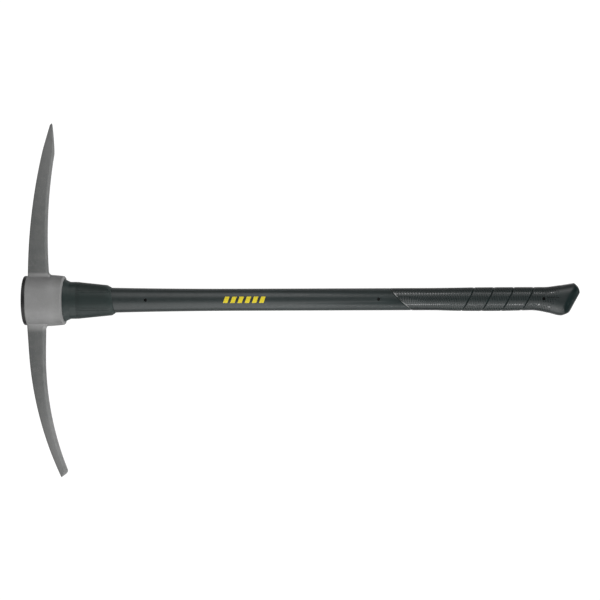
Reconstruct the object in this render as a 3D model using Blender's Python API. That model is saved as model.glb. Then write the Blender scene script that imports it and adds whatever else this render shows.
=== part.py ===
"""Railroad pick: a forged head with a point and a chisel, on a moulded handle with a fibreglass core.

Metres, +Z up. The pick lies on one cheek of its eye. The handle runs along +X, the point reaches
toward +Y and the chisel toward -Y. The origin is the middle of the cheek that the pick lies on.
Every piece is modelled round the handle's axis and then lifted to its height over the floor.
"""

from math import copysign, cos, pi, radians, sin, sqrt, tan

import bmesh
import bpy
from mathutils import Vector

# Fits
FIT = 0.0003                    # gap between pieces that touch
CORE_FIT = 0.0003               # gap round the core rod

# Eye of the head
EYE_LENGTH = 0.0609
EYE_END = 0.0315                # its grip end
EYE_POWER = 2.0                 # roundness of its outside: 2 is an ellipse, and more is fuller
BORE_CAP_HALF_HEIGHT = 0.0380   # the bore's wide end, where the handle goes in
BORE_CAP_HALF_DEPTH = 0.0255
BORE_GRIP_HALF_HEIGHT = 0.0353  # its narrow end, on the grip side
BORE_GRIP_HALF_DEPTH = 0.0225
WALL_CAP = 0.0044               # walls above and below the bore
WALL_GRIP = 0.0046
CHEEK_WALL = 0.0055             # wall at the flat of the cheek
CHEEK_CROWN = 0.0020            # height of the oval that the flat takes off
CHEEK_WALL_GRIP = 0.0060        # wall of the cheek at the grip end
BARREL_START = -0.0050          # where the eye starts to draw in toward the grip
RIM_HOLLOW = 0.0026             # how far the grip end is hollowed at the cheeks
CAP_RIM_EDGE = 0.0014           # chamfers round the ends of the eye
GRIP_RIM_EDGE = 0.0016
OVAL_POWER = 2.3                # roundness of the bore and the guard

# Arms of the head
ARM_DEPTH = 0.0260
BACK_ROUND = 0.0026             # rounding of the arm's long edges along its back
BELLY_ROUND = 0.0022            # and along its belly
CHEEK_FILLET = 0.0090           # rounding where an arm's flat side runs into the cheek
CHEEK_FILLET_START = 0.0012     # where that rounding starts, beyond the wall of the eye
CHEEK_FILLET_SLANT = 0.35       # how far that rounding leans away from the arm's back
ARM_SINK = 0.0057               # how deep an arm starts inside the wall of the eye

POINT_BACK = -0.02766           # place of the point arm's back edge along the handle
POINT_STRAIGHT = 0.034          # straight run of the back before its arc
POINT_RADIUS = 0.920
POINT_SHOULDER = 0.248          # where the arm ends and the pyramid of the point starts
POINT_REACH = 0.2952            # along the back, to the tip
POINT_ROOT_WIDTH = 0.0304
POINT_TAPER = 1.08              # power of the taper: over 1 thins the arm early
POINT_SHOULDER_WIDTH = 0.0158
POINT_SHOULDER_DEPTH = 0.0225
POINT_TIP = 0.0044
POINT_SWELL = 1.15              # over 1 gives the sides of the point a slight belly
POINT_BLUNT = 0.93              # share of the point's length where its blunt tip starts
POINT_BELLY_FILLET = 0.0060     # rounding where the arm's belly runs into the eye

CHISEL_BACK = -0.0319
CHISEL_HEADING = radians(4.0)   # lean of the chisel arm's back at the eye
CHISEL_STRAIGHT = 0.085
CHISEL_RADIUS = 0.575
CHISEL_REACH = 0.2970
CHISEL_ROOT_WIDTH = 0.0268
CHISEL_BLADE_WIDTH = 0.0082
CHISEL_TAPER = 1.2
CHISEL_BLADE_DEPTH = 0.0320
CHISEL_BLADE_START = 0.240      # where the arm has its full depth
CHISEL_BEVEL = 0.0062           # length of the edge's bevel, on the belly side
CHISEL_BEVEL_BOW = 3.0          # power of the bevel: over 1 makes it swell outward
CHISEL_BELLY_ROUND = 0.0030     # rounding of the blade's long edges along the belly
CHISEL_EDGE = 0.0024            # thickness left at the edge
CHISEL_BELLY_FILLET = 0.0075

# End cap
CAP_THICKNESS = 0.0060          # at the edge, under the dome
CAP_DOME = 0.0012
CAP_MARGIN = 0.0018             # how far the cap stays inside the outline of the eye
CAP_ROUND = 0.0022
CAP_PLUG = 0.0091               # length of the plug that goes into the guard
PLUG_EDGE = 0.0010              # chamfer at the ends of the cap's plug and the guard's

# Neck guard
LIP_LENGTH = 0.0095
LIP_CURVE = 1.05                # power of the lip's hollow: 1 makes it straight
BAND_END = 0.0202               # distances from the grip end of the eye
GROOVE_WIDTH = 0.0020
GROOVE_DEPTH = 0.0002
GROOVE_FLOOR = 0.5              # share of the groove's width that is flat
BAND_HALF_HEIGHT = 0.0304
BAND_HALF_DEPTH = 0.0203
SLEEVE_END = 0.0736             # where the end chamfer starts
SLEEVE_HALF_HEIGHT = 0.0249
SLEEVE_HALF_DEPTH = 0.0188
SLEEVE_CHAMFER = 0.0056
SLEEVE_LIP = 0.0006             # step left between the sleeve's end and the shaft
SLEEVE_LEAN = -tan(radians(8.5))
RIB_WIDTH = 0.0018              # long ribs on both faces of the sleeve
RIB_HEIGHT = 0.0006
RIB_SINK = 0.0010
RIB_SPACING = 0.0038            # between the two ribs of a pair
RIB_OFFSET = 0.0157             # of a pair from the handle's axis

# Handle jacket
HANDLE_LENGTH = 0.9016          # from the cap's seat to the butt, along the axis
NECK_HALF_HEIGHT = 0.0205
NECK_HALF_DEPTH = 0.0156
NECK_TAPER_LENGTH = 0.205
SHAFT_HALF_HEIGHT = 0.0182
SHAFT_HALF_DEPTH = 0.0143
GRIP_TOP = 0.0191               # the grip bulges a little more on its lower side
GRIP_BOTTOM = 0.0198
GRIP_HALF_DEPTH = 0.0154
GRIP_LENGTH = 0.2923            # from the grip's first groove to the butt
GRIP_SWELL_START = 0.242        # distances from the butt
GRIP_SWELL_END = 0.156
WAIST_START = 0.100             # the grip draws in on its lower side toward the knob
WAIST_DROP = 0.0011
SHAFT_POWER = 2.2
BUTT_POWER = 3.0
FIRST_LEAN = -tan(radians(44.3))
FIRST_BOW = 14.0                # bends the grip's first groove: rise of its ends over their height squared
GRIP_LEAN = tan(radians(28.8))
LEAN_RUN = 0.050                # length over which the rings turn to a new lean
GRIP_GROOVES = 4
GRIP_GROOVE_SPACING = 0.0326
GRIP_GROOVE_LAST = 0.0794       # from the last groove to the butt
GRIP_GROOVE_WIDTH = 0.0028
GRIP_GROOVE_DEPTH = 0.0011
FIRST_GROOVE_DEPTH = 0.0005

# Knob
KNOB_START = 0.0594             # distances from the butt
KNOB_TOP = 0.0256
KNOB_BOTTOM = 0.0294
KNOB_HALF_DEPTH = 0.0180
KNOB_FLARE = 1.2                # power of the flare: over 1 makes it hollow
HEEL_FLARE = 1.6
TOP_BEVEL = 0.0172
TOP_BEVEL_DROP = 0.0158
SIDE_BEVEL = 0.0180
SIDE_BEVEL_DROP = 0.0095
BEVEL_STRAIGHT = 0.57           # share of a bevel's drop that is a straight slope; the rest turns down
HEEL_START = 0.0630
HEEL_END = 0.0090
HEEL_ROUND = 0.0230
HEEL_ROUND_DROP = 0.0080

# Core
CORE_RADIUS = 0.0110
CORE_START = -0.0200
CORE_COVER = 0.0234             # plastic between the core's end and the butt
PIN_RADIUS = 0.0026
PIN_FROM_EYE = 0.1653
PINS_FROM_BUTT = (0.3250, 0.0551)
SLOT_LENGTH = 0.0205            # fine slot beside the last hole
SLOT_WIDTH = 0.0011
SLOT_DEPTH = 0.0030
SLOT_HEIGHT = 0.0020
SLOT_FROM_PIN = 0.0050

# Smoothness
OVAL_SIDES = 40
CORNER_STEPS = 4
ROD_SIDES = 32
SHARP_ANGLE = 32                # degrees: a steeper edge is shaded sharp
CAP_DOME_RINGS = (0.2, 0.45, 0.7, 0.88)
POINT_RINGS = (0.15, 0.3, 0.5, 0.7)

# Places that follow from the sizes above
EYE_START = EYE_END - EYE_LENGTH
EYE_HALF_HEIGHT = BORE_CAP_HALF_HEIGHT + WALL_CAP
AXIS_HEIGHT = BORE_CAP_HALF_DEPTH + CHEEK_WALL
CAP_SEAT = EYE_START - FIT
BUTT = HANDLE_LENGTH + CAP_SEAT
SLEEVE_TIP = EYE_END + SLEEVE_END + SLEEVE_CHAMFER
GRIP_START = BUTT - GRIP_LENGTH
CORE_END = BUTT - CORE_COVER


def mix(low, high, share):
    return low + (high - low) * share


def ramp(value, start, end):
    """Goes from 0 at the start to 1 at the end, and stays there."""
    return min(max((value - start) / (end - start), 0.0), 1.0)


def ease(value, start, end):
    share = ramp(value, start, end)
    return share * share * (3 - 2 * share)


def steps(start, end, count):
    return [mix(start, end, index / count) for index in range(count + 1)]


def flare(depth, radius):
    """Growth of a rounded corner at a depth past its tangent point."""
    depth = min(max(depth, 0.0), radius)
    return radius - sqrt(radius * radius - depth * depth)


def oval(top, bottom, half_depth, power):
    """Outline of a fuller oval, as pairs of height and depth."""
    points = []
    for index in range(OVAL_SIDES):
        angle = 2 * pi * index / OVAL_SIDES
        across = copysign(abs(cos(angle)) ** (2 / power), cos(angle))
        up = copysign(abs(sin(angle)) ** (2 / power), sin(angle))
        points.append((across * (top if across > 0 else bottom), up * half_depth))
    return points


def ring(place, outline, lean=0.0, bow=0.0):
    """Stands an outline across the handle's axis, leaned or bowed toward +X at its top."""
    return [
        Vector((place + height * lean + height * height * bow, height, depth))
        for height, depth in outline
    ]


def rounded_rectangle(low, high, half_depth, back_round, belly_round):
    """Outline of an arm, as pairs of distance from the back edge and depth."""
    largest = min(0.45 * (high - low), 0.9 * half_depth)
    back = min(back_round, largest)
    belly = min(belly_round, largest)
    corners = (
        (high - belly, half_depth - belly, belly, 0.0),
        (low + back, half_depth - back, back, pi / 2),
        (low + back, back - half_depth, back, pi),
        (high - belly, belly - half_depth, belly, 3 * pi / 2),
    )
    points = []
    for across, depth, radius, start in corners:
        for angle in steps(start, start + pi / 2, CORNER_STEPS):
            points.append((across + radius * cos(angle), depth + radius * sin(angle)))
    return points


def principled(name, colour, roughness, metallic=0.0):
    material = bpy.data.materials.new(name)
    material.use_nodes = True
    shader = material.node_tree.nodes["Principled BSDF"]
    shader.inputs["Base Color"].default_value = (*colour, 1.0)
    shader.inputs["Roughness"].default_value = roughness
    shader.inputs["Metallic"].default_value = metallic
    return material


def shade(mesh):
    mesh.shade_smooth()
    mesh.set_sharp_from_angle(angle=radians(SHARP_ANGLE))


def loft(name, rings):
    """Closed solid through a row of rings, with a fan over each end."""
    mesh = bpy.data.meshes.new(name)
    shape = bmesh.new()
    rows = [[shape.verts.new(point) for point in points] for points in rings]
    for row, following in zip(rows, rows[1:]):
        for index in range(len(row)):
            after = (index + 1) % len(row)
            shape.faces.new((row[index], row[after], following[after], following[index]))
    for points, row in ((rings[0], rows[0]), (rings[-1], rows[-1])):
        middle = shape.verts.new(sum(points, Vector()) / len(points))
        for index in range(len(row)):
            shape.faces.new((row[index], row[(index + 1) % len(row)], middle))
    bmesh.ops.recalc_face_normals(shape, faces=shape.faces)
    shape.to_mesh(mesh)
    shape.free()
    shade(mesh)
    made = bpy.data.objects.new(name, mesh)
    bpy.context.collection.objects.link(made)
    return made


def rod(name, radius, start, end, across=False):
    """Round rod along the handle's axis, or across it through both faces."""
    rings = []
    for place in (start, end):
        circle = [2 * pi * index / ROD_SIDES for index in range(ROD_SIDES)]
        if across:
            rings.append([Vector((radius * cos(a), radius * sin(a), place)) for a in circle])
        else:
            rings.append([Vector((place, radius * cos(a), radius * sin(a))) for a in circle])
    return loft(name, rings)


def combine(piece, tools, operation):
    """Joins tools to a piece or cuts them out of it, one after the other, and removes them."""
    for tool in tools:
        change = piece.modifiers.new(tool.name, "BOOLEAN")
        change.operation = operation
        change.solver = "EXACT"
        change.object = tool
    view = bpy.context.evaluated_depsgraph_get()
    mesh = bpy.data.meshes.new_from_object(piece.evaluated_get(view))
    piece.modifiers.clear()
    piece.data = mesh
    mesh.name = piece.name
    shade(mesh)
    for tool in tools:
        bpy.data.objects.remove(tool)


def bore_size(place):
    """Half height and half depth of the eye's bore."""
    share = (place - EYE_START) / EYE_LENGTH
    half_height = mix(BORE_CAP_HALF_HEIGHT, BORE_GRIP_HALF_HEIGHT, share)
    half_depth = mix(BORE_CAP_HALF_DEPTH, BORE_GRIP_HALF_DEPTH, share)
    return half_height, half_depth


def eye_ring(place, inset):
    """Ring of the eye's outside: a barrel with flat cheeks, its grip end hollowed at the cheeks."""
    drawn_in = ramp(place, BARREL_START, EYE_END) ** 2
    half_height = mix(EYE_HALF_HEIGHT, BORE_GRIP_HALF_HEIGHT + WALL_GRIP, drawn_in) - inset
    half_depth = mix(AXIS_HEIGHT + CHEEK_CROWN, BORE_GRIP_HALF_DEPTH + CHEEK_WALL_GRIP, drawn_in) - inset
    flat = AXIS_HEIGHT - inset
    power = mix(EYE_POWER, OVAL_POWER, ramp(place, BARREL_START, EYE_END))
    points = []
    for height, depth in oval(half_height, half_height, half_depth, power):
        depth = min(max(depth, -flat), flat)
        hollow = RIM_HOLLOW * ramp(place, 0, EYE_END) * (depth / AXIS_HEIGHT) ** 2
        points.append(Vector((place - hollow, height, depth)))
    return points


def eye_body():
    rings = [eye_ring(EYE_START, CAP_RIM_EDGE)]
    rings += [eye_ring(place, 0.0) for place in steps(EYE_START + CAP_RIM_EDGE, BARREL_START, 3)]
    rings += [eye_ring(place, 0.0) for place in steps(BARREL_START, EYE_END - GRIP_RIM_EDGE, 7)[1:]]
    rings.append(eye_ring(EYE_END, GRIP_RIM_EDGE))
    return loft("eye_body", rings)


def eye_bore():
    rings = []
    for place in (EYE_START - WALL_CAP, EYE_END + WALL_GRIP):
        half_height, half_depth = bore_size(place)
        rings.append(ring(place, oval(half_height, half_height, half_depth, OVAL_POWER)))
    return loft("eye_bore", rings)


def back_edge(travel, start, heading, straight, bend_end, radius):
    """Place and heading on an arm's back: a straight run, an arc and its tangent."""
    run = min(travel, straight)
    turn = (min(max(travel, straight), bend_end) - straight) / radius
    past = max(travel - bend_end, 0.0)
    final = heading + turn
    along = start + sin(heading) * run + radius * (cos(heading) - cos(final)) + sin(final) * past
    out = cos(heading) * run + radius * (sin(final) - sin(heading)) + cos(final) * past
    return along, out, final


def arm_ring(back, side, low, high, half_depth, back_round, belly_round):
    """Section of an arm, square to its back; the side is +1 for the point and -1 for the chisel."""
    along, out, heading = back
    points = []
    for across, depth in rounded_rectangle(low, high, half_depth, back_round, belly_round):
        points.append(Vector((
            along + cos(heading) * across,
            side * (out - sin(heading) * across),
            depth,
        )))
    return points


def root_stations(belly_fillet):
    """Close stations through the fillets where an arm leaves the eye."""
    return steps(EYE_HALF_HEIGHT - ARM_SINK, EYE_HALF_HEIGHT + belly_fillet, 9)


def root_growth(out, belly_fillet):
    """How far an arm's belly and sides swell at a distance from the handle's axis."""
    belly = flare(EYE_HALF_HEIGHT + belly_fillet - out, belly_fillet)
    sides = flare(EYE_HALF_HEIGHT + CHEEK_FILLET_START - out, CHEEK_FILLET)
    return belly, sides


def point_arm():
    """Tapered arm that ends in a four-sided point."""
    rings = []
    arm = steps(EYE_HALF_HEIGHT + POINT_BELLY_FILLET, POINT_SHOULDER, 14)[1:]
    for travel in root_stations(POINT_BELLY_FILLET) + arm:
        back = back_edge(travel, POINT_BACK, 0.0, POINT_STRAIGHT, POINT_SHOULDER, POINT_RADIUS)
        share = ramp(travel, EYE_HALF_HEIGHT, POINT_SHOULDER)
        width = mix(POINT_SHOULDER_WIDTH, POINT_ROOT_WIDTH, (1 - share) ** POINT_TAPER)
        depth = mix(ARM_DEPTH, POINT_SHOULDER_DEPTH, share)
        belly_growth, side_growth = root_growth(back[1], POINT_BELLY_FILLET)
        rings.append(arm_ring(
            back, 1, CHEEK_FILLET_SLANT * side_growth, width + belly_growth, depth / 2 + side_growth,
            mix(BACK_ROUND, BACK_ROUND / 2, share), mix(BELLY_ROUND, BELLY_ROUND / 2, share),
        ))
    for share in (*POINT_RINGS, POINT_BLUNT, 1.0):
        travel = mix(POINT_SHOULDER, POINT_REACH, share)
        back = back_edge(travel, POINT_BACK, 0.0, POINT_STRAIGHT, POINT_SHOULDER, POINT_RADIUS)
        taper = min(share / POINT_BLUNT, 1.0) ** POINT_SWELL
        blunt = POINT_TIP / 3 if share == 1.0 else 0.0
        width = mix(POINT_SHOULDER_WIDTH, POINT_TIP, taper)
        depth = mix(POINT_SHOULDER_DEPTH, POINT_TIP, taper)
        rings.append(arm_ring(
            back, 1, blunt, width - blunt, depth / 2 - blunt,
            mix(BACK_ROUND / 2, POINT_TIP / 3, taper), mix(BELLY_ROUND / 2, POINT_TIP / 3, taper),
        ))
    return loft("point_arm", rings)


def chisel_arm():
    """Curved arm that grows deeper and thinner, with a bevel on the belly side of its edge."""
    rings = []
    bevel_start = CHISEL_REACH - CHISEL_BEVEL
    arm = steps(EYE_HALF_HEIGHT + CHISEL_BELLY_FILLET, bevel_start, 20)[1:]
    bevel_places = steps(bevel_start, CHISEL_REACH, 4)[1:]
    for travel in root_stations(CHISEL_BELLY_FILLET) + arm + bevel_places:
        back = back_edge(
            travel, CHISEL_BACK, CHISEL_HEADING, CHISEL_STRAIGHT, CHISEL_REACH, CHISEL_RADIUS,
        )
        share = ramp(travel, EYE_HALF_HEIGHT, bevel_start)
        width = mix(CHISEL_BLADE_WIDTH, CHISEL_ROOT_WIDTH, (1 - share) ** CHISEL_TAPER)
        depth = mix(ARM_DEPTH, CHISEL_BLADE_DEPTH, ramp(travel, EYE_HALF_HEIGHT, CHISEL_BLADE_START))
        belly_growth, side_growth = root_growth(back[1], CHISEL_BELLY_FILLET)
        bevelled = ramp(travel, bevel_start, CHISEL_REACH) ** CHISEL_BEVEL_BOW
        bevel = bevelled * (CHISEL_BLADE_WIDTH - CHISEL_EDGE)
        rings.append(arm_ring(
            back, -1, CHEEK_FILLET_SLANT * side_growth, width + belly_growth - bevel,
            depth / 2 + side_growth,
            mix(BACK_ROUND, CHISEL_EDGE / 2, share), mix(BELLY_ROUND, CHISEL_BELLY_ROUND, share),
        ))
    return loft("chisel_arm", rings)


def pick_head():
    head = eye_body()
    head.name = "pick_head"
    combine(head, [point_arm(), chisel_arm()], "UNION")
    combine(head, [eye_bore()], "DIFFERENCE")
    head.data.materials.append(principled("grey_paint", (0.22, 0.223, 0.223), 0.45, 0.3))
    return head


def neck_outline(grow=0.0):
    """Outline of the jacket inside the guard, which the guard's hole follows."""
    half_height = NECK_HALF_HEIGHT + grow
    return oval(half_height, half_height, NECK_HALF_DEPTH + grow, SHAFT_POWER)


def end_cap():
    """Domed plate over the wide end of the eye, with a rounded edge and a plug."""
    half_height = EYE_HALF_HEIGHT - CAP_MARGIN
    half_depth = AXIS_HEIGHT - CAP_MARGIN
    rings = []
    for share in CAP_DOME_RINGS:
        place = CAP_SEAT - CAP_THICKNESS - CAP_DOME * (1 - share ** 2)
        height = share * (half_height - CAP_ROUND)
        depth = share * (half_depth - CAP_ROUND)
        rings.append(ring(place, oval(height, height, depth, EYE_POWER)))
    for angle in steps(0, pi / 2, 4):
        inset = CAP_ROUND * (1 - sin(angle))
        place = CAP_SEAT - CAP_THICKNESS + CAP_ROUND * (1 - cos(angle))
        rings.append(ring(place, oval(half_height - inset, half_height - inset, half_depth - inset, EYE_POWER)))
    rings.append(ring(CAP_SEAT, oval(half_height, half_height, half_depth, EYE_POWER)))
    rings.append(ring(CAP_SEAT, neck_outline()))
    rings.append(ring(CAP_SEAT + CAP_PLUG - PLUG_EDGE, neck_outline()))
    rings.append(ring(CAP_SEAT + CAP_PLUG, neck_outline(-PLUG_EDGE)))
    cap = loft("end_cap", rings)
    cap.data.materials.append(principled("black_cap", (0.006, 0.006, 0.006), 0.4))
    return cap


def guard_ring(place, half_height, half_depth, lean=0.0):
    return ring(place, oval(half_height, half_height, half_depth, OVAL_POWER), lean)


def sleeve_size(place):
    """Half height and half depth of the sleeve, between its band and its chamfer."""
    share = (place - EYE_END - BAND_END) / (SLEEVE_END - BAND_END)
    half_height = mix(BAND_HALF_HEIGHT, SLEEVE_HALF_HEIGHT, share)
    half_depth = mix(BAND_HALF_DEPTH, SLEEVE_HALF_DEPTH, share)
    return half_height, half_depth


def guard_plug_and_lip():
    """Rings of the plug in the eye and of the lip that draws in to the band."""
    rings = []
    for place, inset in ((EYE_START, PLUG_EDGE), (EYE_START + PLUG_EDGE, 0.0), (0.0, 0.0)):
        half_height, half_depth = bore_size(place)
        rings.append(guard_ring(place, half_height - FIT - inset, half_depth - FIT - inset))
    mouth_height, mouth_depth = bore_size(EYE_END)
    for share in steps(0, 1, 6):
        drawn_in = 1 - (1 - share) ** LIP_CURVE
        rings.append(guard_ring(
            EYE_END + share * LIP_LENGTH,
            mix(mouth_height - FIT, BAND_HALF_HEIGHT, drawn_in),
            mix(mouth_depth - FIT, BAND_HALF_DEPTH, drawn_in),
        ))
    return rings


def guard_sleeve():
    """Rings from the groove behind the band to the slanted end of the sleeve."""
    rings = []
    groove = EYE_END + BAND_END
    for offset, inset in ((-1, 0.0), (-GROOVE_FLOOR, GROOVE_DEPTH), (GROOVE_FLOOR, GROOVE_DEPTH), (1, 0.0)):
        rings.append(guard_ring(
            groove + offset * GROOVE_WIDTH / 2, BAND_HALF_HEIGHT - inset, BAND_HALF_DEPTH - inset,
        ))
    for place in steps(groove, EYE_END + SLEEVE_END, 6)[1:]:
        half_height, half_depth = sleeve_size(place)
        lean = SLEEVE_LEAN * ramp(place, groove, EYE_END + SLEEVE_END)
        rings.append(guard_ring(place, half_height, half_depth, lean))
    rings.append(guard_ring(
        SLEEVE_TIP, NECK_HALF_HEIGHT + FIT + SLEEVE_LIP, NECK_HALF_DEPTH + FIT + SLEEVE_LIP, SLEEVE_LEAN,
    ))
    return rings


def sleeve_rib(name, height, face):
    """Low rib along the sleeve, sunk into its surface; the face is +1 or -1."""
    rings = []
    for place in steps(EYE_END + BAND_END + GROOVE_WIDTH, EYE_END + SLEEVE_END, 6):
        half_height, half_depth = sleeve_size(place)
        section = []
        for share, rise in ((-1 / 2, -RIB_SINK), (-1 / 3, RIB_HEIGHT), (1 / 3, RIB_HEIGHT), (1 / 2, -RIB_SINK)):
            across = height + share * RIB_WIDTH
            surface = half_depth * (1 - abs(across / half_height) ** OVAL_POWER) ** (1 / OVAL_POWER)
            section.append((across, face * (surface + rise)))
        rings.append(ring(place, section))
    return loft(name, rings)


def neck_guard():
    """Moulding that fills the eye and carries on as a sleeve over the neck."""
    guard = loft("neck_guard", guard_plug_and_lip() + guard_sleeve())
    heights = [
        side * (RIB_OFFSET + shift)
        for side in (1, -1)
        for shift in (-RIB_SPACING / 2, RIB_SPACING / 2)
    ]
    combine(guard, [sleeve_rib("rib", height, face) for height in heights for face in (1, -1)], "UNION")
    reach = SLEEVE_TIP + EYE_HALF_HEIGHT * abs(SLEEVE_LEAN)
    hole = loft("guard_hole", [
        ring(CAP_SEAT, neck_outline(FIT)),
        ring(reach, neck_outline(FIT)),
    ])
    combine(guard, [hole], "DIFFERENCE")
    guard.data.materials.append(principled("guard_plastic", (0.037, 0.047, 0.047), 0.55))
    return guard


def jacket_lean(place):
    """Lean of the jacket's rings, which follow the grip's grooves and the butt."""
    if place < GRIP_START:
        return FIRST_LEAN * ramp(place, GRIP_START - LEAN_RUN, GRIP_START)
    if place < GRIP_START + LEAN_RUN:
        return FIRST_LEAN * (1 - ramp(place, GRIP_START, GRIP_START + LEAN_RUN))
    return GRIP_LEAN * ramp(place, GRIP_START + LEAN_RUN, GRIP_START + 2 * LEAN_RUN)


def jacket_bow(place):
    """Bow of the jacket's rings, which only the first groove has."""
    return FIRST_BOW * max(0.0, 1 - abs(place - GRIP_START) / LEAN_RUN)


def bevel(place, length):
    """Share of a bevel's drop at a place: a straight slope that turns down toward the butt."""
    turn = ramp(place, BUTT - length, BUTT)
    return mix(turn ** 3, turn, BEVEL_STRAIGHT)


def jacket_ring(place, inset=0.0):
    """Ring of the jacket: neck, shaft, grip and knob, each from its own sizes."""
    neck = (1 - ramp(place, SLEEVE_TIP, SLEEVE_TIP + NECK_TAPER_LENGTH)) ** 2
    swell = ease(place, BUTT - GRIP_SWELL_START, BUTT - GRIP_SWELL_END)
    half_height = mix(SHAFT_HALF_HEIGHT, NECK_HALF_HEIGHT, neck)
    half_depth = mix(mix(SHAFT_HALF_DEPTH, NECK_HALF_DEPTH, neck), GRIP_HALF_DEPTH, swell)

    knob = ramp(place, BUTT - KNOB_START, BUTT - TOP_BEVEL) ** KNOB_FLARE
    heel = ramp(place, BUTT - HEEL_START, BUTT - HEEL_END) ** HEEL_FLARE
    top = mix(mix(half_height, GRIP_TOP, swell), KNOB_TOP, knob)
    waist = GRIP_BOTTOM - WAIST_DROP * ease(place, BUTT - WAIST_START, BUTT - HEEL_START)
    bottom = mix(mix(half_height, waist, swell), KNOB_BOTTOM, heel)
    half_depth = mix(half_depth, KNOB_HALF_DEPTH, knob)

    top -= TOP_BEVEL_DROP * bevel(place, TOP_BEVEL)
    flat = half_depth - inset - SIDE_BEVEL_DROP * bevel(place, SIDE_BEVEL)
    heel_turn = ramp(place, BUTT - HEEL_ROUND, BUTT)
    bottom -= HEEL_ROUND_DROP * (1 - sqrt(1 - heel_turn ** 2))

    power = mix(SHAFT_POWER, BUTT_POWER, knob)
    outline = [
        (height, min(max(depth, -flat), flat))
        for height, depth in oval(top - inset, bottom - inset, half_depth - inset, power)
    ]
    return ring(place, outline, jacket_lean(place), jacket_bow(place))


def groove_rings(place, depth):
    half = GRIP_GROOVE_WIDTH / 2
    return [jacket_ring(place - half), jacket_ring(place, depth), jacket_ring(place + half)]


def slot_cutter(face):
    """Cutter for the fine slot on one face of the knob; the face is +1 or -1."""
    start = BUTT - PINS_FROM_BUTT[-1] + SLOT_FROM_PIN
    rings = []
    for place in (start, start + SLOT_LENGTH):
        skin = max(depth for _, _, depth in jacket_ring(place))
        low, high = skin - SLOT_DEPTH, skin + SLOT_DEPTH
        edges = (SLOT_HEIGHT - SLOT_WIDTH / 2, SLOT_HEIGHT + SLOT_WIDTH / 2)
        section = ((edges[0], low), (edges[1], low), (edges[1], high), (edges[0], high))
        rings.append(ring(place, [(height, face * depth) for height, depth in section]))
    return loft("slot", rings)


def handle_jacket():
    """Moulding over the core: shaft, grip with its grooves, and knob."""
    rings = [jacket_ring(CORE_START)]
    rings += [jacket_ring(place) for place in steps(SLEEVE_TIP, SLEEVE_TIP + NECK_TAPER_LENGTH, 7)]
    rings += [jacket_ring(place) for place in steps(GRIP_START - LEAN_RUN, GRIP_START, 3)[:-1]]
    rings += groove_rings(GRIP_START, FIRST_GROOVE_DEPTH)

    last = BUTT - GRIP_GROOVE_LAST
    grooves = [last - index * GRIP_GROOVE_SPACING for index in reversed(range(GRIP_GROOVES))]
    rings += [jacket_ring(place) for place in steps(GRIP_START, grooves[0], 8)[1:-1]]
    for place in grooves:
        rings += groove_rings(place, GRIP_GROOVE_DEPTH)

    knob = steps(BUTT - HEEL_START, BUTT - SIDE_BEVEL, 8)[:-1] + [BUTT - TOP_BEVEL]
    knob += [BUTT - SIDE_BEVEL * (1 - sin(turn)) for turn in steps(0, pi / 2, 6)]
    rings += [jacket_ring(place) for place in sorted(knob)]
    jacket = loft("handle_jacket", rings)

    holes = [rod("core_hole", CORE_RADIUS + CORE_FIT, CORE_START - FIT, CORE_END + FIT)]
    for place in [PIN_FROM_EYE] + [BUTT - distance for distance in PINS_FROM_BUTT]:
        pin_hole = rod("pin_hole", PIN_RADIUS, -2 * KNOB_HALF_DEPTH, 2 * KNOB_HALF_DEPTH, True)
        pin_hole.location.x = place
        holes.append(pin_hole)
    combine(jacket, holes + [slot_cutter(1), slot_cutter(-1)], "DIFFERENCE")
    jacket.data.materials.append(principled("jacket_plastic", (0.05, 0.062, 0.062), 0.35))
    return jacket


def core_rod():
    core = rod("core_rod", CORE_RADIUS, CORE_START, CORE_END)
    core.data.materials.append(principled("fibreglass", (0.004, 0.004, 0.004), 0.5))
    return core


def main():
    for old in list(bpy.data.objects):
        bpy.data.objects.remove(old)
    pick_head()
    end_cap()
    neck_guard()
    handle_jacket()
    core_rod()

    axis = bpy.data.objects.new("handle_axis", None)
    bpy.context.collection.objects.link(axis)
    for piece in list(bpy.context.collection.objects):
        if piece is not axis:
            piece.parent = axis
    axis.location.z = AXIS_HEIGHT


main()
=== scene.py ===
"""Looks for the railroad pick: materials, the studs of the grip, light, floor and camera.

Metres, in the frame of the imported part: the handle runs along +X, the point reaches toward +Y and
the chisel toward -Y. The pick lies on one cheek of its eye, on the plane z = 0.
"""

from math import atan, cos, pi, radians, sin, tan

import bpy
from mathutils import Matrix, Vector
from mathutils.bvhtree import BVHTree


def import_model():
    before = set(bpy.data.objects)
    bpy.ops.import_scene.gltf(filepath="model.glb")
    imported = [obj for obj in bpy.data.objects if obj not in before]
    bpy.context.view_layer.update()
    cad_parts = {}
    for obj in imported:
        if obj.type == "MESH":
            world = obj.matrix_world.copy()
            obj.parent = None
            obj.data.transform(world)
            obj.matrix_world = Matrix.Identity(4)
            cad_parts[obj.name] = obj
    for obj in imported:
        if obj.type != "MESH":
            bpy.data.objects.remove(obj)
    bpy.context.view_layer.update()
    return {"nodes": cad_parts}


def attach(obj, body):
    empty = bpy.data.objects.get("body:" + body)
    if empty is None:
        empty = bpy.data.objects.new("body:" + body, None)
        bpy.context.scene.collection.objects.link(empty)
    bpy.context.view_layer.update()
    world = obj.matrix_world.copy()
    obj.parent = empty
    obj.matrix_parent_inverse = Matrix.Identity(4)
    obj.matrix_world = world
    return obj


# Sizes that the solids have too
AXIS_HEIGHT = 0.031             # of the handle's axis over the floor
GRIP_START = 0.5796
LEAN_RUN = 0.050
FIRST_LEAN = -tan(radians(44.3))
FIRST_BOW = 14.0
GRIP_LEAN = tan(radians(28.8))
GRIP_GROOVES = (0.6947, 0.7273, 0.7599, 0.7925)

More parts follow.
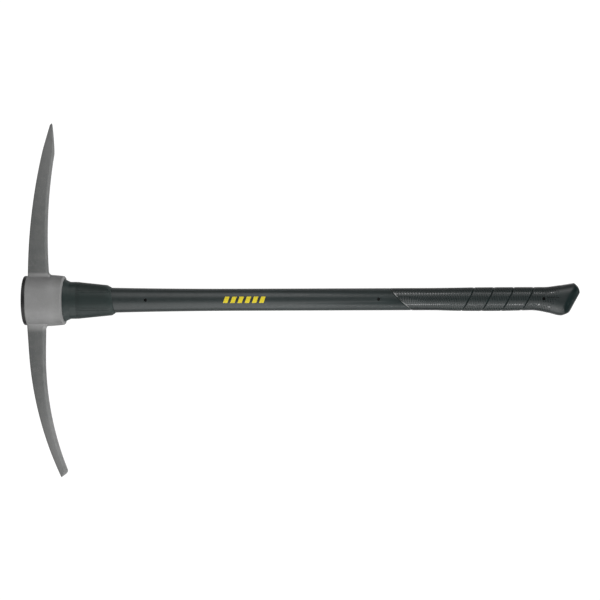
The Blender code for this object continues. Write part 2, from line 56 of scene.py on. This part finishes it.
# Photo: a square of 600 pixels, seen from straight above
PHOTO_SIZE = 600
METRES_PER_PIXEL = 0.0016476    # at the height of the handle's axis
CAMERA_X = 0.4182
CAMERA_Y = -0.0007
CAMERA_OVER_AXIS = 1.9
CAMERA_ROLL = radians(-0.203)

# Studs of the grip
STUD_PITCH = 0.00393
STUD_ROWS = 44
STUD_RADIUS = 0.00110
STUD_TOP = 0.8                  # radius of its flat top, as a share of its foot's
STUD_HEIGHT = 0.00035
STUD_SINK = 0.00015
STUD_REACH = 0.0013             # how far to either side the lie of the surface under a stud is measured
STUD_SIDES = 6
STUD_FIELD_END = 0.8380
BORDER_OFFSET = 0.0015          # of the raised line that ends the field, from the first groove
BORDER_HALF_WIDTH = 0.0012
BORDER_HEIGHT = 0.00025
BORDER_STEPS = 96
GROOVE_MARGIN = 0.0026
PIN_HOLE = 0.8168
PIN_HOLE_MARGIN = 0.0036
GRIP_HALF_HEIGHT = 0.0193
GRIP_HALF_DEPTH = 0.0154
LOOK_FROM = 0.05                # distance from the axis at which the search for the surface starts

# Shading
SHARP_ANGLE = radians(32)       # a steeper edge of a solid is shaded sharp
STUD_SHARP_ANGLE = radians(50)  # and one of a piece made here
JOIN_DISTANCE = 0.000001

# Paint of the head: where one tone goes over into the next
POINT_ROOT = (0.0425, 0.0470)
CHISEL_ROOT = (-0.0530, -0.0435)
TOWARD_TIP = (0.11, 0.28)
TOWARD_CHISEL = (-0.26, -0.12)
# where the painted shade on the grip side of the eye starts and is full
GRIP_SIDE_SHADE = (0.012, 0.026)

# Other places where a material changes
# how far a face must look toward the knob for the painted light on the guard to come in
KNOB_SIDE_LIGHT_FACING = (0.15, 0.45)    # how far a face looks toward the knob
POLISHED_GROOVE = (0.0011, 0.0016)
POLISHED_ROUGHNESS = 0.08

# Light
CHISEL_SIDE = 1.25              # white that a reflection shows low on the chisel's side
CEILING = 0.45                  # and overhead
BEYOND_KNOB = 0.04              # part of it that is left toward the knob's end
KNOB_HORIZON = 0.90             # and what comes back low down there
OVERHEAD_FADE = (-0.45, -0.20)  # directions at which one of these goes over into the next
KNOB_FADE = (0.42, 0.60)
HORIZON_FADE = (0.90, 0.98)
EVEN_LIGHT = 0.18
FLOOR_HALF = 6.0
FLOOR_DROP = 0.0005             # under the pick
FLOOR_PALE = 0.55
FLOOR_STRENGTH = 1.2
FLOOR_WHITE = 0.80              # share of the floor that is white to the camera whatever falls on it
FLOOR_MIRRORED = 0.10           # part of that share which a reflection shows
BOX_DISTANCE = 2.2              # of the soft boxes from the handle
TUBE_DISTANCE = 2.15            # of the bright tubes in front of them
BOX_PARTS = (                   # start and end along the handle, and share of the full brightness
    (-2.40, -0.11, 0.63),
    (-0.11, 0.20, 1.03),
    (0.20, 0.80, 1.60),
    (0.80, 1.18, 0.30),
    (1.18, 1.45, 0.60),
)
TUBE_PARTS = (
    (0.70, 1.04, 1.0),
    (1.04, 1.18, 0.5),
    (1.18, 1.45, 1.8),
)

# Plain marks on the shaft
MARK_START = 0.2940
MARK_PITCH = 0.0118
MARK_COUNT = 6
MARK_WIDTH = 0.0072
MARK_HALF_HEIGHT = 0.0052
MARK_LEAN = 0.35
MARK_THICKNESS = 0.00012
MARK_STEPS = 6
MARK_LOOK_FROM = 0.1            # height at which the search for the shaft's surface starts


def add(tree, kind, inputs=(), **settings):
    """Adds a node. An input may be a value or another node's output."""
    made = tree.nodes.new(kind)
    for name, value in settings.items():
        setattr(made, name, value)
    for name, value in dict(inputs).items():
        if isinstance(value, bpy.types.NodeSocket):
            tree.links.new(value, made.inputs[name])
        else:
            made.inputs[name].default_value = value
    return made


def new_material(name):
    material = bpy.data.materials.new(name)
    material.use_nodes = True
    tree = material.node_tree
    tree.nodes.clear()
    shader = add(tree, "ShaderNodeBsdfPrincipled")
    output = add(tree, "ShaderNodeOutputMaterial")
    tree.links.new(shader.outputs[0], output.inputs[0])
    return material, tree, shader


def place(tree, stretch=(1, 1, 1)):
    """Position on the object in metres, scaled along each axis."""
    coordinates = add(tree, "ShaderNodeTexCoord")
    mapping = add(tree, "ShaderNodeMapping", {"Vector": coordinates.outputs["Object"], "Scale": stretch})
    return mapping.outputs[0]


def noise(tree, scale, detail=2.0, rough=0.5, stretch=(1, 1, 1)):
    return add(tree, "ShaderNodeTexNoise", {
        "Vector": place(tree, stretch), "Scale": scale, "Detail": detail, "Roughness": rough,
    }).outputs["Fac"]


def math(tree, operation, first, second=0.0):
    return add(tree, "ShaderNodeMath", {0: first, 1: second}, operation=operation).outputs[0]


def spread(tree, value, start, end, low=0.0, high=1.0):
    """Maps a value from one range to another, smoothly and within the new range."""
    return add(tree, "ShaderNodeMapRange", {
        "Value": value, "From Min": start, "From Max": end, "To Min": low, "To Max": high,
    }, interpolation_type="SMOOTHSTEP").outputs[0]


def blend_colours(tree, share, first, second):
    mixed = add(tree, "ShaderNodeMix", data_type="RGBA")
    for socket, value in ((0, share), (6, first), (7, second)):
        if isinstance(value, bpy.types.NodeSocket):
            tree.links.new(value, mixed.inputs[socket])
        elif socket:
            mixed.inputs[socket].default_value = (*value, 1.0)
        else:
            mixed.inputs[socket].default_value = value
    return mixed.outputs[2]


def bumps(tree, layers):
    """Chain of bumps from pairs of height and depth in metres."""
    normal = None
    for height, depth in layers:
        bump = add(tree, "ShaderNodeBump", {"Height": height, "Distance": depth, "Strength": 1.0})
        if normal is not None:
            tree.links.new(normal, bump.inputs["Normal"])
        normal = bump.outputs[0]
    return normal


def finish_material(tree, shader, colour, roughness, normal, gloss):
    tree.links.new(colour, shader.inputs["Base Color"])
    tree.links.new(roughness, shader.inputs["Roughness"])
    tree.links.new(normal, shader.inputs["Normal"])
    shader.inputs["Specular IOR Level"].default_value = gloss


def head_paint():
    """Grey enamel over a forging, lighter toward the arms' tips. The eye is lighter than the arms as
    painted light, and darker toward the grip as painted shade.
    """
    material, tree, shader = new_material("head_paint")
    axes = add(tree, "ShaderNodeSeparateXYZ", {0: place(tree)})
    along_arms = axes.outputs["Y"]
    on_point = spread(tree, along_arms, *POINT_ROOT)
    on_chisel = spread(tree, along_arms, *CHISEL_ROOT, 1.0, 0.0)
    on_arm = math(tree, "ADD", on_point, on_chisel)
    toward_tip = spread(tree, math(tree, "ABSOLUTE", along_arms), *TOWARD_TIP)
    toward_chisel = spread(tree, along_arms, *TOWARD_CHISEL, 1.0, 0.0)
    grip_side_shade = spread(tree, axes.outputs["X"], *GRIP_SIDE_SHADE)
    arm = blend_colours(tree, toward_tip, (0.063, 0.066, 0.065), (0.096, 0.098, 0.097))
    arm = blend_colours(tree, toward_chisel, arm, (0.118, 0.120, 0.119))
    # the eye's tone, going over into a darker painted shade toward the grip
    eye = blend_colours(tree, grip_side_shade, (0.176, 0.177, 0.176), (0.136, 0.137, 0.136))
    # painted light: the eye gets a lighter tone than the arms
    colour = blend_colours(tree, on_arm, eye, arm)
    mottle = spread(tree, noise(tree, 90.0, 4.0, 0.6), 0.35, 0.65, 0.0, 0.22)
    colour = blend_colours(tree, mottle, colour, (0.125, 0.124, 0.120))
    speck = spread(tree, noise(tree, 900.0, 1.0), 0.60, 0.75, 0.0, 0.25)
    colour = blend_colours(tree, speck, colour, (0.30, 0.30, 0.30))
    roughness = spread(tree, noise(tree, 140.0, 3.0), 0.3, 0.7, 0.42, 0.56)
    normal = bumps(tree, (
        (noise(tree, 80.0, 2.0), 0.00015),
        (noise(tree, 1100.0, 2.0), 0.00005),
    ))
    finish_material(tree, shader, colour, roughness, normal, 0.5)
    return material


def moulded(name, colour, pale, rough_low, rough_high, grain, gloss):
    """Moulded plastic with a fine grain, flow streaks along the handle and faint scuffs."""
    material, tree, shader = new_material(name)
    streaks = spread(tree, noise(tree, 260.0, 3.0, 0.6, (0.06, 1, 1)), 0.40, 0.70, 0.0, 0.35)
    tone = blend_colours(tree, streaks, colour, pale)
    cloud = spread(tree, noise(tree, 30.0, 3.0), 0.35, 0.65, 0.0, 0.25)
    tone = blend_colours(tree, cloud, tone, pale)
    roughness = spread(tree, noise(tree, 180.0, 3.0), 0.3, 0.7, rough_low, rough_high)
    normal = bumps(tree, (
        (noise(tree, 1600.0, 2.0), grain),
        (noise(tree, 420.0, 1.0, 0.5, (0.08, 1, 1)), grain / 2),
    ))
    finish_material(tree, shader, tone, roughness, normal, gloss)
    return material


def shader_of(material):
    return next(node for node in material.node_tree.nodes if node.type == "BSDF_PRINCIPLED")


def paint_knob_side_light(material, colour):
    """Makes the faces that look toward the knob paler, as painted light on them."""
    tree = material.node_tree
    shader = shader_of(material)
    tone = shader.inputs["Base Color"].links[0].from_socket
    facing = add(tree, "ShaderNodeSeparateXYZ", {0: add(tree, "ShaderNodeTexCoord").outputs["Normal"]})
    knob_side_light = spread(tree, facing.outputs["X"], *KNOB_SIDE_LIGHT_FACING)
    tree.links.new(blend_colours(tree, knob_side_light, tone, colour), shader.inputs["Base Color"])


def polish_first_groove(material):
    """Makes the grip's first groove smoother than the grain beside it."""
    tree = material.node_tree
    shader = shader_of(material)
    grain = shader.inputs["Roughness"].links[0].from_socket
    axes = add(tree, "ShaderNodeSeparateXYZ", {0: place(tree)})
    up = axes.outputs["Y"]
    lean = math(tree, "MULTIPLY", up, math(tree, "ADD", math(tree, "MULTIPLY", up, FIRST_BOW), FIRST_LEAN))
    groove = math(tree, "ADD", lean, GRIP_START)
    away = math(tree, "ABSOLUTE", math(tree, "SUBTRACT", axes.outputs["X"], groove))
    polished = spread(tree, away, *POLISHED_GROOVE, POLISHED_ROUGHNESS, 1.0)
    tree.links.new(math(tree, "MINIMUM", grain, polished), shader.inputs["Roughness"])


def fibreglass():
    """Drawn rod: fine fibres along the handle, near black as painted shade for the pin holes that show it.
    """
    material, tree, shader = new_material("fibreglass")
    fibres = noise(tree, 2400.0, 3.0, 0.6, (0.02, 1, 1))
    pale = spread(tree, fibres, 0.3, 0.7)
    # near black: painted shade at the bottom of the pin holes
    colour = blend_colours(tree, pale, (0.003, 0.003, 0.003), (0.007, 0.007, 0.007))
    roughness = spread(tree, fibres, 0.3, 0.7, 0.40, 0.60)
    finish_material(tree, shader, colour, roughness, bumps(tree, ((fibres, 0.00008),)), 0.2)
    return material


def mark_paint():
    """Yellow ink, printed a little unevenly."""
    material, tree, shader = new_material("mark_paint")
    patches = spread(tree, noise(tree, 700.0, 3.0), 0.35, 0.65)
    colour = blend_colours(tree, patches, (0.46, 0.37, 0.006), (0.52, 0.43, 0.018))
    roughness = spread(tree, noise(tree, 500.0, 2.0), 0.3, 0.7, 0.40, 0.55)
    finish_material(tree, shader, colour, roughness, bumps(tree, ((noise(tree, 1800.0), 0.00002),)), 0.4)
    return material


def surface(node):
    """Search tree of a node's mesh, which lies in the frame as it is."""
    mesh = node.data
    return BVHTree.FromPolygons([v.co for v in mesh.vertices], [p.vertices for p in mesh.polygons])


def made_piece(name, points, faces, material, body):
    mesh = bpy.data.meshes.new(name)
    mesh.from_pydata(points, [], faces)
    mesh.shade_smooth()
    mesh.set_sharp_from_angle(angle=STUD_SHARP_ANGLE)
    mesh.materials.append(material)
    piece = bpy.data.objects.new(name, mesh)
    bpy.context.scene.collection.objects.link(piece)
    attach(piece, body)
    return piece


def ramp(value, start, end):
    return min(max((value - start) / (end - start), 0.0), 1.0)


def jacket_lean(along):
    """Lean of the grip's grooves and rows of studs at a distance along the axis."""
    turned = ramp(along, GRIP_START, GRIP_START + LEAN_RUN)
    if turned < 1.0:
        return FIRST_LEAN * (1 - turned)
    return GRIP_LEAN * ramp(along, GRIP_START + LEAN_RUN, GRIP_START + 2 * LEAN_RUN)


def jacket_bow(along):
    """Bow of the first groove, which fades along the rows of studs next to it."""
    return FIRST_BOW * (1 - ramp(along, GRIP_START, GRIP_START + LEAN_RUN))


def stud_places():
    """Pairs of distance along the axis and angle round it, staggered from row to row."""
    found = []
    first = GRIP_START + GROOVE_MARGIN
    columns = int((STUD_FIELD_END - first) / STUD_PITCH)
    for row in range(STUD_ROWS):
        angle = 2 * pi * (row + 0.5) / STUD_ROWS
        shift = 0.5 if row % 2 else 0.0
        for column in range(columns):
            along = first + (column + shift) * STUD_PITCH
            if all(abs(along - groove) > GROOVE_MARGIN for groove in GRIP_GROOVES):
                found.append((along, angle))
    return found


def on_grip(skin, along, angle):
    """Point of the grip's surface and the way it faces, or None where a pin hole is."""
    height = GRIP_HALF_HEIGHT * cos(angle)
    outward = Vector((0.0, height, GRIP_HALF_DEPTH * sin(angle))).normalized()
    shift = height * jacket_lean(along) + height * height * jacket_bow(along)
    start = Vector((along + shift, 0.0, AXIS_HEIGHT)) + LOOK_FROM * outward
    across = STUD_REACH * Vector((0.0, outward.z, -outward.y))
    hit = skin.ray_cast(start, -outward)[0]
    sides = [skin.ray_cast(start + way * across, -outward)[0] for way in (-1, 1)]
    if hit is None or None in sides or Vector((hit.x - PIN_HOLE, hit.y)).length < PIN_HOLE_MARGIN:
        return None
    return hit, Vector((1, 0, 0)).cross(sides[0] - sides[1]).normalized()


def grip_border(jacket, material):
    """Smooth raised line round the handle, where the field of studs begins."""
    skin = surface(jacket)
    profile = ((-1, -STUD_SINK), (-STUD_TOP, BORDER_HEIGHT), (STUD_TOP, BORDER_HEIGHT), (1, -STUD_SINK))
    points = []
    for step in range(BORDER_STEPS):
        hit, normal = on_grip(skin, GRIP_START + BORDER_OFFSET, 2 * pi * step / BORDER_STEPS)
        for side, rise in profile:
            points.append(hit + Vector((side * BORDER_HALF_WIDTH, 0, 0)) + rise * normal)
    faces = []
    for step in range(BORDER_STEPS):
        near = 4 * step
        far = 4 * ((step + 1) % BORDER_STEPS)
        for corner in range(4):
            after = (corner + 1) % 4
            faces.append((near + corner, near + after, far + after, far + corner))
    piece = made_piece("grip_border", points, faces, material, "handle")


def grip_studs(jacket, material):
    """Low studs all round the grip, set on the surface of the jacket."""
    skin = surface(jacket)
    points = []
    faces = []
    for along, angle in stud_places():
        found = on_grip(skin, along, angle)
        if found is None:
            continue
        hit, normal = found
        turn = normal.to_track_quat("Z", "X").to_matrix()
        base = len(points)
        for radius, rise in ((STUD_RADIUS, -STUD_SINK), (STUD_TOP * STUD_RADIUS, STUD_HEIGHT)):
            for side in range(STUD_SIDES):
                spin = 2 * pi * side / STUD_SIDES
                points.append(hit + turn @ Vector((radius * cos(spin), radius * sin(spin), rise)))
        for side in range(STUD_SIDES):
            after = (side + 1) % STUD_SIDES
            faces.append((base + side, base + after, base + STUD_SIDES + after, base + STUD_SIDES + side))
        faces.append(tuple(base + STUD_SIDES + side for side in range(STUD_SIDES)))
        faces.append(tuple(base + side for side in reversed(range(STUD_SIDES))))
    piece = made_piece("grip_studs", points, faces, material, "handle")


def shaft_marks(jacket, material):
    """Row of plain slanted bars, printed on the face of the shaft."""
    skin = surface(jacket)
    points = []
    faces = []
    for index in range(MARK_COUNT):
        left = MARK_START + index * MARK_PITCH
        base = len(points)
        for step in range(MARK_STEPS + 1):
            height = MARK_HALF_HEIGHT * (2 * step / MARK_STEPS - 1)
            for edge in (0.0, MARK_WIDTH):
                top = Vector((left + edge + MARK_LEAN * height, height, MARK_LOOK_FROM))
                hit, normal, _, _ = skin.ray_cast(top, Vector((0, 0, -1)))
                points.append(hit - MARK_THICKNESS * normal)
                points.append(hit + MARK_THICKNESS * normal)
        for step in range(MARK_STEPS):
            near = base + 4 * step
            far = near + 4
            faces.append((near + 1, near + 3, far + 3, far + 1))
            faces.append((near, far, far + 2, near + 2))
            faces.append((near, near + 1, far + 1, far))
            faces.append((near + 2, far + 2, far + 3, near + 3))
        last = base + 4 * MARK_STEPS
        faces.append((base, base + 2, base + 3, base + 1))
        faces.append((last, last + 1, last + 3, last + 2))
    made_piece("shaft_marks", points, faces, material, "handle")


def camera():
    data = bpy.data.cameras.new("camera")
    data.angle = 2 * atan(PHOTO_SIZE / 2 * METRES_PER_PIXEL / CAMERA_OVER_AXIS)
    made = bpy.data.objects.new("camera", data)
    made.location = (CAMERA_X, CAMERA_Y, AXIS_HEIGHT + CAMERA_OVER_AXIS)
    made.rotation_euler = (0.0, 0.0, CAMERA_ROLL)
    bpy.context.scene.collection.objects.link(made)
    bpy.context.scene.camera = made


def long_lamp(name, tilt, distance, width, radiance, parts):
    """Row of area lamps along one side of the handle, tilted from straight above by an angle."""
    for number, (start, end, share) in enumerate(parts, 1):
        data = bpy.data.lights.new(f"{name}_{number}", "AREA")
        data.shape = "RECTANGLE"
        data.size = end - start
        data.size_y = width
        data.energy = share * radiance * pi * width * (end - start)
        made = bpy.data.objects.new(data.name, data)
        made.location = ((start + end) / 2, distance * sin(tilt), AXIS_HEIGHT + distance * cos(tilt))
        made.rotation_euler = (-tilt, 0.0, 0.0)
        bpy.context.scene.collection.objects.link(made)


def head_fill(location, power):
    """Soft spot that lights the sides of the head which face the knob, and shows in no reflection."""
    data = bpy.data.lights.new("head_fill", "SPOT")
    data.energy = power
    data.spot_size = radians(25)
    data.spot_blend = 0.15
    data.shadow_soft_size = 0.25
    made = bpy.data.objects.new("head_fill", data)
    made.location = location
    made.rotation_euler = (-Vector(location)).to_track_quat("-Z", "Y").to_euler()
    made.visible_glossy = False
    bpy.context.scene.collection.objects.link(made)


def seen_white(tree, mirrored):
    """Share of white: 1 for the camera and through glass, and a given share in a reflection."""
    path = add(tree, "ShaderNodeLightPath")
    glossy = math(tree, "MULTIPLY", path.outputs["Is Glossy Ray"], mirrored)
    direct = math(tree, "MAXIMUM", path.outputs["Is Camera Ray"], path.outputs["Is Transmission Ray"])
    return math(tree, "MAXIMUM", direct, glossy)


def world(level):
    """Even light, white to the camera; a reflection shows it white at the sides and dark overhead."""
    made = bpy.data.worlds.new("studio")
    made.use_nodes = True
    tree = made.node_tree
    tree.nodes.clear()
    direction = add(tree, "ShaderNodeTexCoord").outputs["Generated"]
    axes = add(tree, "ShaderNodeSeparateXYZ", {0: direction})
    overhead = spread(tree, axes.outputs["Y"], *OVERHEAD_FADE, CHISEL_SIDE, CEILING)
    beyond_knob = spread(tree, axes.outputs["X"], *KNOB_FADE, 1.0, BEYOND_KNOB)
    horizon = spread(tree, axes.outputs["X"], *HORIZON_FADE, 0.0, KNOB_HORIZON)
    mirrored = math(tree, "ADD", math(tree, "MULTIPLY", overhead, beyond_knob), horizon)
    not_mirror = math(tree, "SUBTRACT", 1.0, add(tree, "ShaderNodeLightPath").outputs["Is Glossy Ray"])
    even = math(tree, "MULTIPLY", not_mirror, level)
    strength = math(tree, "MAXIMUM", seen_white(tree, mirrored), even)
    light = add(tree, "ShaderNodeBackground", {"Color": (1, 1, 1, 1), "Strength": strength})
    output = add(tree, "ShaderNodeOutputWorld")
    tree.links.new(light.outputs[0], output.inputs[0])
    bpy.context.scene.world = made


def floor():
    """Pale floor that looks white from above and keeps the shadow of the pick."""
    material = bpy.data.materials.new("floor")
    material.use_nodes = True
    tree = material.node_tree
    tree.nodes.clear()
    pale = add(tree, "ShaderNodeBsdfDiffuse", {"Color": (FLOOR_PALE, FLOOR_PALE, FLOOR_PALE, 1.0)})
    white = add(tree, "ShaderNodeEmission", {"Color": (1, 1, 1, 1), "Strength": FLOOR_STRENGTH})
    share = math(tree, "MULTIPLY", seen_white(tree, FLOOR_MIRRORED), FLOOR_WHITE)
    either = add(tree, "ShaderNodeMixShader", {0: share, 1: pale.outputs[0], 2: white.outputs[0]})
    output = add(tree, "ShaderNodeOutputMaterial")
    tree.links.new(either.outputs[0], output.inputs[0])

    corners = [(FLOOR_HALF * x, FLOOR_HALF * y, 0) for x, y in ((-1, -1), (1, -1), (1, 1), (-1, 1))]
    mesh = bpy.data.meshes.new("floor")
    mesh.from_pydata(corners, [], [(0, 1, 2, 3)])
    mesh.materials.append(material)
    made = bpy.data.objects.new("floor", mesh)
    bpy.context.scene.collection.objects.link(made)
    made.location.z = -FLOOR_DROP


def round_shading():
    """Modifier that joins the triangles of a solid and shades its rounded sides smooth."""
    group = bpy.data.node_groups.new("round_shading", "GeometryNodeTree")
    group.interface.new_socket("Geometry", in_out="INPUT", socket_type="NodeSocketGeometry")
    group.interface.new_socket("Geometry", in_out="OUTPUT", socket_type="NodeSocketGeometry")
    solid = add(group, "NodeGroupInput").outputs[0]
    joined = add(group, "GeometryNodeMergeByDistance", {"Geometry": solid, "Distance": JOIN_DISTANCE})
    angle = add(group, "GeometryNodeInputMeshEdgeAngle").outputs["Unsigned Angle"]
    shaded = add(group, "GeometryNodeSetMeshNormal", {
        "Mesh": joined.outputs[0],
        "Edge Sharpness": math(group, "GREATER_THAN", angle, SHARP_ANGLE),
    })
    add(group, "NodeGroupOutput", {0: shaded.outputs[0]})
    return group


def dress(node, material, shading):
    """Gives a solid its material and its shading."""
    node.data.materials.clear()
    node.data.materials.append(material)
    node.modifiers.new("round_shading", "NODES").node_group = shading


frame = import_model()
nodes = frame["nodes"]

guard_plastic = moulded(
    "guard_plastic", (0.002, 0.008, 0.007), (0.005, 0.013, 0.012),
    rough_low=0.38, rough_high=0.48, grain=0.00004, gloss=0.35,
)
jacket_plastic = moulded(
    "jacket_plastic", (0.002, 0.006, 0.006), (0.005, 0.012, 0.012),
    rough_low=0.30, rough_high=0.38, grain=0.00002, gloss=0.5,
)
stud_plastic = moulded(
    "stud_plastic", (0.002, 0.006, 0.006), (0.004, 0.009, 0.009),
    rough_low=0.10, rough_high=0.13, grain=0.000004, gloss=0.42,
)
border_plastic = moulded(
    "border_plastic", (0.003, 0.007, 0.006), (0.006, 0.012, 0.011),
    rough_low=0.10, rough_high=0.13, grain=0.000004, gloss=1.0,
)
cap_plastic = moulded(
    "cap_plastic", (0.002, 0.002, 0.002), (0.004, 0.004, 0.004),
    rough_low=0.30, rough_high=0.40, grain=0.00003, gloss=0.3,
)
# painted light: the guard's faces toward the knob get a paler colour
paint_knob_side_light(guard_plastic, (0.016, 0.023, 0.022))
polish_first_groove(jacket_plastic)

shading = round_shading()
dress(nodes["pick_head"], head_paint(), shading)
dress(nodes["neck_guard"], guard_plastic, shading)
dress(nodes["handle_jacket"], jacket_plastic, shading)
dress(nodes["end_cap"], cap_plastic, shading)
dress(nodes["core_rod"], fibreglass(), shading)
grip_border(nodes["handle_jacket"], border_plastic)
grip_studs(nodes["handle_jacket"], stud_plastic)
shaft_marks(nodes["handle_jacket"], mark_paint())

floor()
world(EVEN_LIGHT)
long_lamp("upper_soft_box", radians(37.5), BOX_DISTANCE, width=1.50, radiance=1.65, parts=BOX_PARTS)
long_lamp("lower_soft_box", radians(-46.5), BOX_DISTANCE, width=3.10, radiance=1.42, parts=BOX_PARTS)
long_lamp("upper_tube", radians(41.5), TUBE_DISTANCE, width=0.06, radiance=10.5, parts=TUBE_PARTS)
long_lamp("lower_tube", radians(-41.5), TUBE_DISTANCE, width=0.06, radiance=14.5, parts=TUBE_PARTS)
head_fill(location=(1.85, -0.30, 0.55), power=195.0)
camera()
bpy.context.scene.view_settings.view_transform = "Standard"
